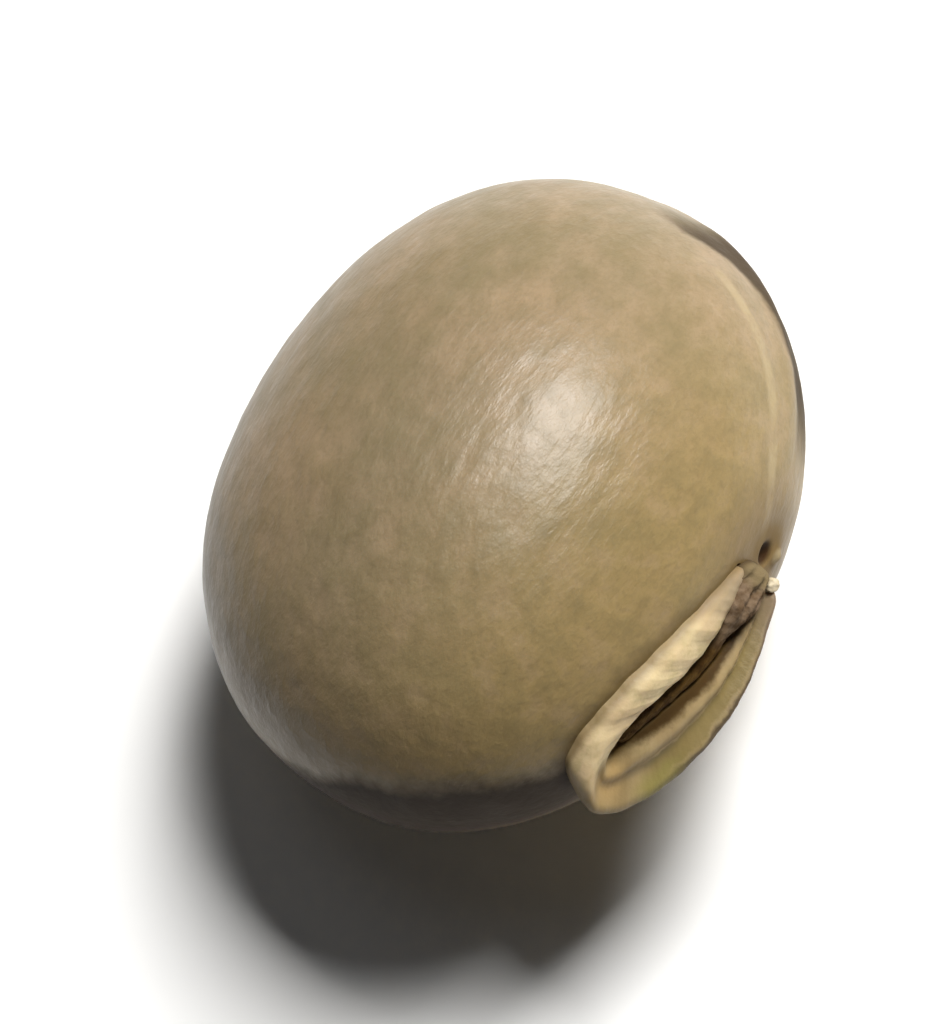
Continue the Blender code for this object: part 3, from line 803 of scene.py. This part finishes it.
# %% Node helpers
def add(tree, kind, inputs=None, **settings):
    """A new node, with its settings made and its inputs set or linked."""
    made = tree.nodes.new(kind)
    for setting, value in settings.items():
        setattr(made, setting, value)
    for socket, value in (inputs or {}).items():
        if isinstance(value, bpy.types.NodeSocket):
            tree.links.new(value, made.inputs[socket])
        else:
            made.inputs[socket].default_value = value
    return made


def maths(tree, operation, first, second=0.0, third=0.0):
    """The result of one sum."""
    return add(tree, "ShaderNodeMath", {0: first, 1: second, 2: third}, operation=operation).outputs[0]


def times(tree, first, second):
    """One number or mask times another."""
    return maths(tree, "MULTIPLY", first, second)


def fade(tree, value, start, end):
    """A mask that goes softly from 0 to 1 as the value goes from start to end."""
    made = add(
        tree, "ShaderNodeMapRange", {"Value": value, "From Min": start, "From Max": end},
        interpolation_type="SMOOTHSTEP",
    )
    return made.outputs["Result"]


def mark(tree, name):
    """A number that was kept on the mesh."""
    return add(tree, "ShaderNodeAttribute", attribute_name=name).outputs["Fac"]


print("node helpers: add, maths, times, fade, mark")

# %% Colour and shader helpers
def blend(tree, amount, under, over):
    """One colour over another, as much as a mask says."""
    made = add(tree, "ShaderNodeMix", {0: amount}, data_type="RGBA")
    for socket, colour in ((6, under), (7, over)):
        if isinstance(colour, bpy.types.NodeSocket):
            tree.links.new(colour, made.inputs[socket])
        else:
            made.inputs[socket].default_value = (*colour, 1.0)
    return made.outputs[2]


def tint(tree, colour, mask, strength, over):
    """A colour with another laid over it: where a mask says, and at most this strongly."""
    return blend(tree, times(tree, mask, strength), colour, over)


def relief_normal(tree, strength, depth_mm, height):
    """The way the surface looks once fine relief is added to it."""
    depth = depth_mm * MM
    made = add(tree, "ShaderNodeBump", {"Strength": strength, "Distance": depth, "Height": height})
    return made.outputs["Normal"]


def start_material(name, roughness, specular):
    """A new material, its node tree and its shader."""
    made = bpy.data.materials.new(name)
    made.use_nodes = True
    shader = made.node_tree.nodes["Principled BSDF"]
    shader.inputs["Roughness"].default_value = roughness
    shader.inputs["Specular IOR Level"].default_value = specular
    return made, made.node_tree, shader


def wire(tree, shader, **results):
    """Links results to the shader's inputs, whose names have spaces where these have _."""
    for name, result in results.items():
        tree.links.new(result, shader.inputs[name.replace("_", " ")])


def let_light_in(shader, weight, radius, scale_mm):
    """A little light passes under the surface, which softens dry plant tissue."""
    shader.inputs["Subsurface Weight"].default_value = weight
    shader.inputs["Subsurface Radius"].default_value = radius
    shader.inputs["Subsurface Scale"].default_value = scale_mm * MM


def put_on(piece, finish):
    """Gives a piece its finish."""
    piece.data.materials.append(finish)
    print(finish.name, "has", len(finish.node_tree.nodes), "nodes")


print("colour helpers: blend, tint, relief_normal, wire, let_light_in, put_on")

# %% The shared grain effect
def make_dry_grain():
    """A node group: slow blotches, middling mottles and fine grain at given sizes."""
    group = bpy.data.node_groups.new("dry_grain", "ShaderNodeTree")
    socket = group.interface.new_socket
    socket("Vector", in_out="INPUT", socket_type="NodeSocketVector")
    for name in ("Blotch scale", "Mottle scale", "Grain scale"):
        socket(name, in_out="INPUT", socket_type="NodeSocketFloat")
    for name in ("Blotch", "Mottle", "Grain"):
        socket(name, in_out="OUTPUT", socket_type="NodeSocketFloat")
    start = group.nodes.new("NodeGroupInput").outputs
    end = group.nodes.new("NodeGroupOutput").inputs
    for name, detail, roughness in (("Blotch", 2.0, 0.5), ("Mottle", 4.0, 0.6), ("Grain", 3.0, 0.7)):
        inputs = {"Vector": start["Vector"], "Scale": start[name + " scale"]}
        texture = add(group, "ShaderNodeTexNoise", {**inputs, "Detail": detail, "Roughness": roughness})
        group.links.new(texture.outputs["Fac"], end[name])
    return group


dry_grain = make_dry_grain()
print("the grain effect has", len(dry_grain.nodes), "nodes")

# %% The grain effect in a material
def place_grain(tree, place, sizes_mm):
    """The grain effect at the given places, with sizes in millimetres."""
    scales = {name + " scale": 1000 / size for name, size in sizes_mm.items()}
    return add(tree, "ShaderNodeGroup", {"Vector": place, **scales}, node_tree=dry_grain).outputs


def grain_masks(tree, blotch_mm, mottle_mm, grain_mm):
    """Blotch, mottle and grain masks for a material."""
    place = add(tree, "ShaderNodeTexCoord").outputs["Object"]
    outputs = place_grain(tree, place, {"Blotch": blotch_mm, "Mottle": mottle_mm, "Grain": grain_mm})
    return outputs["Blotch"], outputs["Mottle"], outputs["Grain"]


def streak_mask(tree, pitch_mm, stretch):
    """Fine wrinkles drawn out along X: the same effect, read at stretched places."""
    place = add(tree, "ShaderNodeTexCoord").outputs["Object"]
    drawn = add(tree, "ShaderNodeVectorMath", {0: place, 1: stretch}, operation="MULTIPLY")
    return place_grain(tree, drawn.outputs["Vector"], {"Mottle": pitch_mm})["Mottle"]


print("the effect gives:", [socket.name for socket in dry_grain.nodes["Group Output"].inputs][:-1])

# %% [markdown]
# ## The coat's finish
#
# The real coat is hard and satin, beige with cool olive and warm tan clouds and fine darker
# streaks along the seed. It is more orange on the side of the scar and brown round the pit
# and where it meets the collar. A pale line follows the keel, with a dark band some way
# below it. The far end is darkened, partly its own tone and partly painted shade, and the
# low side that faces away from the key light is painted dark brown: painted shade over
# some brown stain.
#
# The clouds come from the shared grain effect. Everything else is a mask made from a mark
# on the mesh, with its edge broken up by the mottle so that it doesn't look drawn. The
# highlight is broken up by tiny streaks too, so a low bump does as much for the look as
# the colours do.

# %% The coat's colours
BEIGE, WARM_BEIGE, SCAR_SIDE_TAN = (0.236, 0.182, 0.103), (0.280, 0.203, 0.116), (0.305, 0.216, 0.083)
OLIVE_CLOUD, PALE_CLOUD = (0.170, 0.134, 0.060), (0.400, 0.285, 0.185)
GRAIN_BROWN, STREAK_BROWN, FAR_END_BROWN = (0.170, 0.128, 0.062), (0.150, 0.110, 0.052), (0.180, 0.125, 0.056)
PIT_BROWN, BAND_BROWN, LINE_CREAM = (0.160, 0.100, 0.034), (0.045, 0.028, 0.012), (0.420, 0.325, 0.175)
# LOW_SHADE_BROWN is painted shade for the low side, over some brown stain.
COLLAR_SIDE_BROWN, LOW_SHADE_BROWN = (0.125, 0.080, 0.026), (0.026, 0.013, 0.005)
FLECK_TAN, SEAT_BROWN = (0.300, 0.235, 0.130), (0.045, 0.022, 0.008)
print("the coat's two beiges:", BEIGE, WARM_BEIGE)

# %% Clouds, grain and streaks of the coat
coat_finish, tree, shader = start_material("seed_coat", 0.42, 0.33)
blotch, mottle, grain = grain_masks(tree, 4.2, 0.8, 0.16)
streak = streak_mask(tree, 0.40, (0.38, 1.0, 1.0))
scar_side = fade(tree, mark(tree, "from_collar"), 8.5, 1.5)
colour = blend(tree, fade(tree, blotch, 0.36, 0.64), BEIGE, WARM_BEIGE)
colour = tint(tree, colour, scar_side, 0.8, SCAR_SIDE_TAN)
colour = tint(tree, colour, fade(tree, mottle, 0.46, 0.68), 0.32, OLIVE_CLOUD)
colour = tint(tree, colour, fade(tree, mottle, 0.52, 0.32), 0.22, PALE_CLOUD)
colour = tint(tree, colour, fade(tree, grain, 0.42, 0.66), 0.24, GRAIN_BROWN)
colour = tint(tree, colour, fade(tree, streak, 0.45, 0.68), 0.16, STREAK_BROWN)
# Painted shade, in part: the far end is darkened towards brown, partly its own tone and partly the shade of
# the lower left.
colour = tint(tree, colour, fade(tree, mark(tree, "far_end"), 0.0, 1.0), 0.65, FAR_END_BROWN)
colour = tint(tree, colour, fade(tree, mark(tree, "from_pit"), 2.8, 0.5), 0.85, PIT_BROWN)
print("clouds and streaks:", len(tree.nodes), "nodes")

# %% The keel's pale line and the dark band below it
beside = mark(tree, "beside_keel")
wavering = maths(tree, "MULTIPLY_ADD", mottle, 0.5, beside)
dark_band = times(tree, fade(tree, wavering, -0.72, -1.12), mark(tree, "band_here"))
dark_band = times(tree, dark_band, fade(tree, wavering, -3.60, -2.60))
colour = tint(tree, colour, dark_band, 0.94, BAND_BROWN)
keel_line = fade(tree, maths(tree, "ABSOLUTE", beside), 0.24, 0.08)
keel_line = times(tree, keel_line, fade(tree, mottle, 0.30, 0.55))
keel_line = times(tree, keel_line, mark(tree, "line_here"))
colour = tint(tree, colour, keel_line, 0.50, LINE_CREAM)
print("with the keel:", len(tree.nodes), "nodes")

# %% Browns by the collar, at the fleck and in the pit, and painted shade on the low side
by_collar = fade(tree, mark(tree, "from_collar"), 0.60, 0.0)
by_collar = times(tree, by_collar, fade(tree, mark(tree, "from_pit"), 0.5, 1.5))
colour = tint(tree, colour, by_collar, 0.7, COLLAR_SIDE_BROWN)
# Painted shade: the low side that faces away from the key light is darkened to near-black brown, over some
# brown stain, with a ragged edge from the blotch and mottle.
low_edge = maths(tree, "MULTIPLY_ADD", blotch, 0.30, mark(tree, "low_side"))
low_side_shade = fade(tree, maths(tree, "MULTIPLY_ADD", mottle, 0.10, low_edge), 0.79, 0.94)
low_top = maths(tree, "MULTIPLY_ADD", blotch, 2.0, mark(tree, "rise"))
low_side_shade = times(tree, low_side_shade, fade(tree, low_top, -1.4, 0.6))
colour = tint(tree, colour, low_side_shade, 0.93, LOW_SHADE_BROWN)
colour = tint(tree, colour, fade(tree, mark(tree, "from_fleck"), 0.28, 0.14), 0.9, FLECK_TAN)
in_pit = fade(tree, mark(tree, "from_pit"), 0.38, 0.24)
stain = maths(tree, "MAXIMUM", mark(tree, "in_seat"), in_pit)
colour = blend(tree, stain, colour, SEAT_BROWN)
print("with the stains:", len(tree.nodes), "nodes")

# %% Gloss and relief of the coat
round_pit = fade(tree, mark(tree, "from_pit"), 1.1, 0.5)
dull = maths(tree, "MAXIMUM", maths(tree, "MAXIMUM", dark_band, low_side_shade), round_pit)
roughness = maths(tree, "MULTIPLY_ADD", mottle, 0.16, 0.31)
roughness = maths(tree, "MULTIPLY_ADD", maths(tree, "MAXIMUM", stain, dull), 0.35, roughness)
varnish = maths(tree, "MULTIPLY_ADD", dull, -0.12, 0.12)
relief = maths(tree, "MULTIPLY_ADD", grain, 0.12, maths(tree, "MULTIPLY_ADD", mottle, 0.5, streak))
normal = relief_normal(tree, 0.9, 0.050, relief)
wire(tree, shader, Base_Color=colour, Roughness=roughness, Coat_Weight=varnish, Normal=normal)
shader.inputs["Coat Roughness"].default_value = 0.32
let_light_in(shader, 0.06, (1.0, 0.55, 0.25), 0.6)
put_on(coat, coat_finish)

# %% [markdown]
# ## The collar's finish
#
# The collar is cream and a little greasy. The upper lip is palest, and its closed end is
# ochre with a lighter knot on it. The lower lip has three zones side by side: a dark outer
# band, an olive furrow and a tan inner ridge, with a greenish patch near the closed end.
# The wall that faces the slot is painted nearly black, as painted shade of the deep slot
# over its dark brown tissue. Those zones come from the numbers on the mesh, across the lip
# and round the hairpin, and the mottle breaks their edges up.

# %% The collar's colours
CREAM, DEEP_CREAM, MOTTLE_OLIVE = (0.640, 0.510, 0.290), (0.570, 0.425, 0.245), (0.400, 0.310, 0.140)
CLOSED_END_OCHRE, KNOT_TAN = (0.175, 0.118, 0.041), (0.345, 0.232, 0.095)
OUTER_BAND_BROWN, FURROW_OLIVE = (0.078, 0.055, 0.032), (0.185, 0.135, 0.042)
RIDGE_TAN, PATCH_GREEN = (0.270, 0.190, 0.082), (0.225, 0.192, 0.056)
OPEN_END_TAN = (0.230, 0.170, 0.115)
# SLOT_SHADE_BROWN is painted shade for the wall that faces the slot.
SLOT_SHADE_BROWN, HOLLOW_BROWN, BASE_BROWN = (0.050, 0.024, 0.004), (0.120, 0.065, 0.016), (0.150, 0.095, 0.030)
print("the collar's two creams:", CREAM, DEEP_CREAM)

# %% Both lips and the closed end
collar_finish, tree, shader = start_material("cream_collar", 0.50, 0.30)
blotch, mottle, grain = grain_masks(tree, 1.3, 0.45, 0.09)
arm = mark(tree, "arm_share")
ragged = maths(tree, "ADD", mark(tree, "lip_breadth"), maths(tree, "MULTIPLY_ADD", mottle, 0.16, -0.08))
colour = blend(tree, fade(tree, blotch, 0.35, 0.65), CREAM, DEEP_CREAM)
colour = tint(tree, colour, fade(tree, mottle, 0.45, 0.70), 0.5, MOTTLE_OLIVE)
closed_end = times(tree, fade(tree, arm, -0.15, -0.01), fade(tree, arm, 0.26, 0.10))
colour = tint(tree, colour, closed_end, 0.85, CLOSED_END_OCHRE)
colour = tint(tree, colour, fade(tree, mark(tree, "knot"), 0.15, 0.80), 0.90, KNOT_TAN)
print("lips and closed end:", len(tree.nodes), "nodes")

# %% Zones of the lower lip
lower_lip = fade(tree, arm, 0.10, 0.26)
outer_band = times(tree, fade(tree, ragged, 0.34, 0.24), lower_lip)
furrow = times(tree, fade(tree, ragged, 0.24, 0.34), fade(tree, ragged, 0.62, 0.54))
inner_ridge = times(tree, fade(tree, ragged, 0.56, 0.64), lower_lip)
patch = times(tree, fade(tree, arm, 0.12, 0.22), fade(tree, arm, 0.42, 0.26))
colour = tint(tree, colour, outer_band, 0.94, OUTER_BAND_BROWN)
colour = tint(tree, colour, times(tree, furrow, lower_lip), 0.9, FURROW_OLIVE)
colour = tint(tree, colour, inner_ridge, 0.80, RIDGE_TAN)
colour = tint(tree, colour, times(tree, patch, fade(tree, ragged, 0.46, 0.34)), 0.75, PATCH_GREEN)
print("with the lower lip:", len(tree.nodes), "nodes")

# %% Open end, painted shade on the slot wall, foot, and the collar's gloss
open_end = fade(tree, maths(tree, "ABSOLUTE", arm), 0.72, 0.96)
# Painted shade: the wall that faces the slot is painted nearly black, the shade of the deep slot over its
# dark brown tissue.
wall_start = maths(tree, "MULTIPLY_ADD", lower_lip, -0.10, 0.93)
slot_wall_shade = fade(tree, maths(tree, "SUBTRACT", ragged, wall_start), -0.04, 0.08)
colour = tint(tree, colour, open_end, 0.7, OPEN_END_TAN)
colour = tint(tree, colour, slot_wall_shade, 0.96, SLOT_SHADE_BROWN)
colour = tint(tree, colour, fade(tree, mark(tree, "hollow"), 0.20, 0.60), 0.85, HOLLOW_BROWN)
colour = tint(tree, colour, fade(tree, mark(tree, "lip_height"), 0.26, 0.02), 0.7, BASE_BROWN)
roughness = maths(tree, "MULTIPLY_ADD", mottle, 0.25, 0.38)
normal = relief_normal(tree, 0.6, 0.03, maths(tree, "MULTIPLY_ADD", grain, 0.5, mottle))
wire(tree, shader, Base_Color=colour, Roughness=roughness, Normal=normal)
let_light_in(shader, 0.10, (1.0, 0.6, 0.3), 0.3)
put_on(collar, collar_finish)

# %% [markdown]
# ## The scrap's finish, and the crumb's
#
# The strand is dark brown and dull. The cap over the open end has dried to a pinkish brown
# skin, and its rim to a greenish one. What lies low, deep between the creases and along the
# edges, is painted nearly black as painted shade.
# The crumb is pale cream.

# %% Scrap material
STRAND_BROWN, STRAND_DARK = (0.120, 0.066, 0.016), (0.055, 0.026, 0.006)
CAP_SKIN, CAP_SKIN_DARK, RIM_SKIN = (0.200, 0.138, 0.086), (0.125, 0.078, 0.042), (0.165, 0.122, 0.062)
# CREASE_SHADE is painted shade for the scrap's low places.
CREASE_SHADE = (0.030, 0.014, 0.005)

scrap_finish, tree, shader = start_material("dry_stalk", 0.80, 0.12)
blotch, mottle, grain = grain_masks(tree, 0.8, 0.28, 0.06)
where = mark(tree, "scrap_place")
cap_here = fade(tree, maths(tree, "MULTIPLY_ADD", blotch, 0.8, where), 1.5, 2.1)
rim_here = fade(tree, maths(tree, "MULTIPLY_ADD", blotch, 0.4, where), 2.9, 3.3)
skin_colour = blend(tree, fade(tree, mottle, 0.40, 0.62), CAP_SKIN, CAP_SKIN_DARK)
colour = blend(tree, fade(tree, mottle, 0.38, 0.66), STRAND_BROWN, STRAND_DARK)
colour = blend(tree, cap_here, colour, skin_colour)
colour = blend(tree, rim_here, colour, RIM_SKIN)
# Painted shade: the low places of the roof, deep between the creases and along the edges, are darkened nearly
# to black.
colour = tint(tree, colour, fade(tree, mark(tree, "scrap_height"), 0.95, 0.45), 0.7, CREASE_SHADE)
roughness = maths(tree, "MULTIPLY_ADD", mottle, 0.20, 0.70)
normal = relief_normal(tree, 0.7, 0.03, grain)
wire(tree, shader, Base_Color=colour, Roughness=roughness, Normal=normal)
put_on(scrap, scrap_finish)

# %% Crumb material
CRUMB_PALE, CRUMB_SHADE = (0.560, 0.480, 0.335), (0.430, 0.355, 0.230)

crumb_finish, tree, shader = start_material("pale_crumb", 0.60, 0.40)
_, mottle, grain = grain_masks(tree, 0.4, 0.15, 0.05)
colour = blend(tree, fade(tree, mottle, 0.35, 0.65), CRUMB_PALE, CRUMB_SHADE)
wire(tree, shader, Base_Color=colour, Normal=relief_normal(tree, 0.5, 0.02, grain))
put_on(crumb, crumb_finish)

# %% The body that the pieces ride on
for piece in (coat, collar, scrap, crumb):
    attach(piece, "root")
print("all four pieces ride on the root body")

# %% [markdown]
# ## Floor, camera and lights
#
# The seed lies on a plain white floor, big enough to have no edge in the picture.
#
# The camera looks steeply down at the scarred side, turned so that the seed stands on the
# slant. A long lens keeps the outline free of perspective.
#
# Two soft lights stand high to the upper side of the picture. The key shades the seed and
# leaves its lower left in the dark, and makes no reflection. The other one is seen only as
# a reflection, so it sets the place and the size of the highlight. One light can't do
# both, because the highlight and the shading that are wanted don't point the same way. The
# sky is weak, so that the form stays clear.

# %% Floor
FLOOR_HALF = 1.0

floor_mesh = bpy.data.meshes.new("floor")
corners = [(x * FLOOR_HALF, y * FLOOR_HALF, 0) for x, y in ((-1, -1), (1, -1), (1, 1), (-1, 1))]
floor_mesh.from_pydata(corners, [], [(0, 1, 2, 3)])
floor = bpy.data.objects.new("floor", floor_mesh)
bpy.context.scene.collection.objects.link(floor)
floor_finish, _, shader = start_material("pale_floor", 0.7, 0.2)
shader.inputs["Base Color"].default_value = (0.94, 0.94, 0.935, 1.0)
floor_mesh.materials.append(floor_finish)
print("the floor is", 2 * FLOOR_HALF, "m wide")

# %% Camera
VIEW_TILT, VIEW_ROLL = math.radians(22), math.radians(56)
LENS, SENSOR = 150.0, 36.0
FRAME_HEIGHT = 26.0 * MM
AIM_LEFT, AIM_DOWN = 0.9 * MM, 0.3 * MM
NEAREST, FARTHEST = 0.01, 10.0

back = Vector((0.0, -math.sin(VIEW_TILT), math.cos(VIEW_TILT)))
level_right = Vector((1.0, 0.0, 0.0))
level_up = Vector((0.0, math.cos(VIEW_TILT), math.sin(VIEW_TILT)))
picture_right = level_right * math.cos(VIEW_ROLL) - level_up * math.sin(VIEW_ROLL)
picture_up = level_right * math.sin(VIEW_ROLL) + level_up * math.cos(VIEW_ROLL)
seed_middle = Vector(((seed_low + seed_high) / 2).tolist())
aim = seed_middle - picture_right * AIM_LEFT - picture_up * AIM_DOWN
distance = FRAME_HEIGHT * LENS / SENSOR

lens_data = bpy.data.cameras.new("camera")
lens_data.sensor_width = SENSOR
lens_data.lens = LENS
lens_data.clip_start = NEAREST
lens_data.clip_end = FARTHEST
camera = bpy.data.objects.new("camera", lens_data)
turned = Matrix((picture_right, picture_up, back)).transposed().to_4x4()
camera.matrix_world = Matrix.Translation(aim + back * distance) @ turned
bpy.context.scene.collection.objects.link(camera)
bpy.context.scene.camera = camera
print("camera stands", round(distance / MM), "mm away")

# %% Lights
LIGHT_DISTANCE, LIGHT_SIZE = 0.40, 0.14
KEY_TOWARD, KEY_POWER, KEY_COLOUR = (0.18, 0.68, 0.71), 2.92, (1.0, 0.99, 0.97)
HIGHLIGHT_TOWARD, HIGHLIGHT_POWER, HIGHLIGHT_COLOUR = (-0.27, 0.52, 0.81), 2.35, (1.0, 0.99, 0.98)


def area_light(name, toward, power, colour, mirrored):
    """A square soft light, placed by the picture's right, up and out, that faces the seed."""
    right, up, out = toward
    direction = (picture_right * right + picture_up * up + back * out).normalized()
    data = bpy.data.lights.new(name, "AREA")
    data.size = LIGHT_SIZE
    data.energy = power
    data.color = colour
    light = bpy.data.objects.new(name, data)
    light.visible_glossy = mirrored
    light.visible_diffuse = not mirrored
    light.location = seed_middle + direction * LIGHT_DISTANCE
    light.rotation_euler = direction.to_track_quat("Z", "Y").to_euler()
    bpy.context.scene.collection.objects.link(light)
    print(name, "stands toward", [round(value, 2) for value in direction])


area_light("key", KEY_TOWARD, KEY_POWER, KEY_COLOUR, mirrored=False)
area_light("highlight", HIGHLIGHT_TOWARD, HIGHLIGHT_POWER, HIGHLIGHT_COLOUR, mirrored=True)

# %% Sky
SKY_COLOUR, SKY_STRENGTH = (0.97, 0.98, 1.0, 1.0), 0.03

sky = bpy.data.worlds.new("sky")
sky.use_nodes = True
background = sky.node_tree.nodes["Background"]
background.inputs["Color"].default_value = SKY_COLOUR
background.inputs["Strength"].default_value = SKY_STRENGTH
bpy.context.scene.world = sky
bpy.context.scene.view_settings.view_transform = "Standard"
print("sky strength:", SKY_STRENGTH)
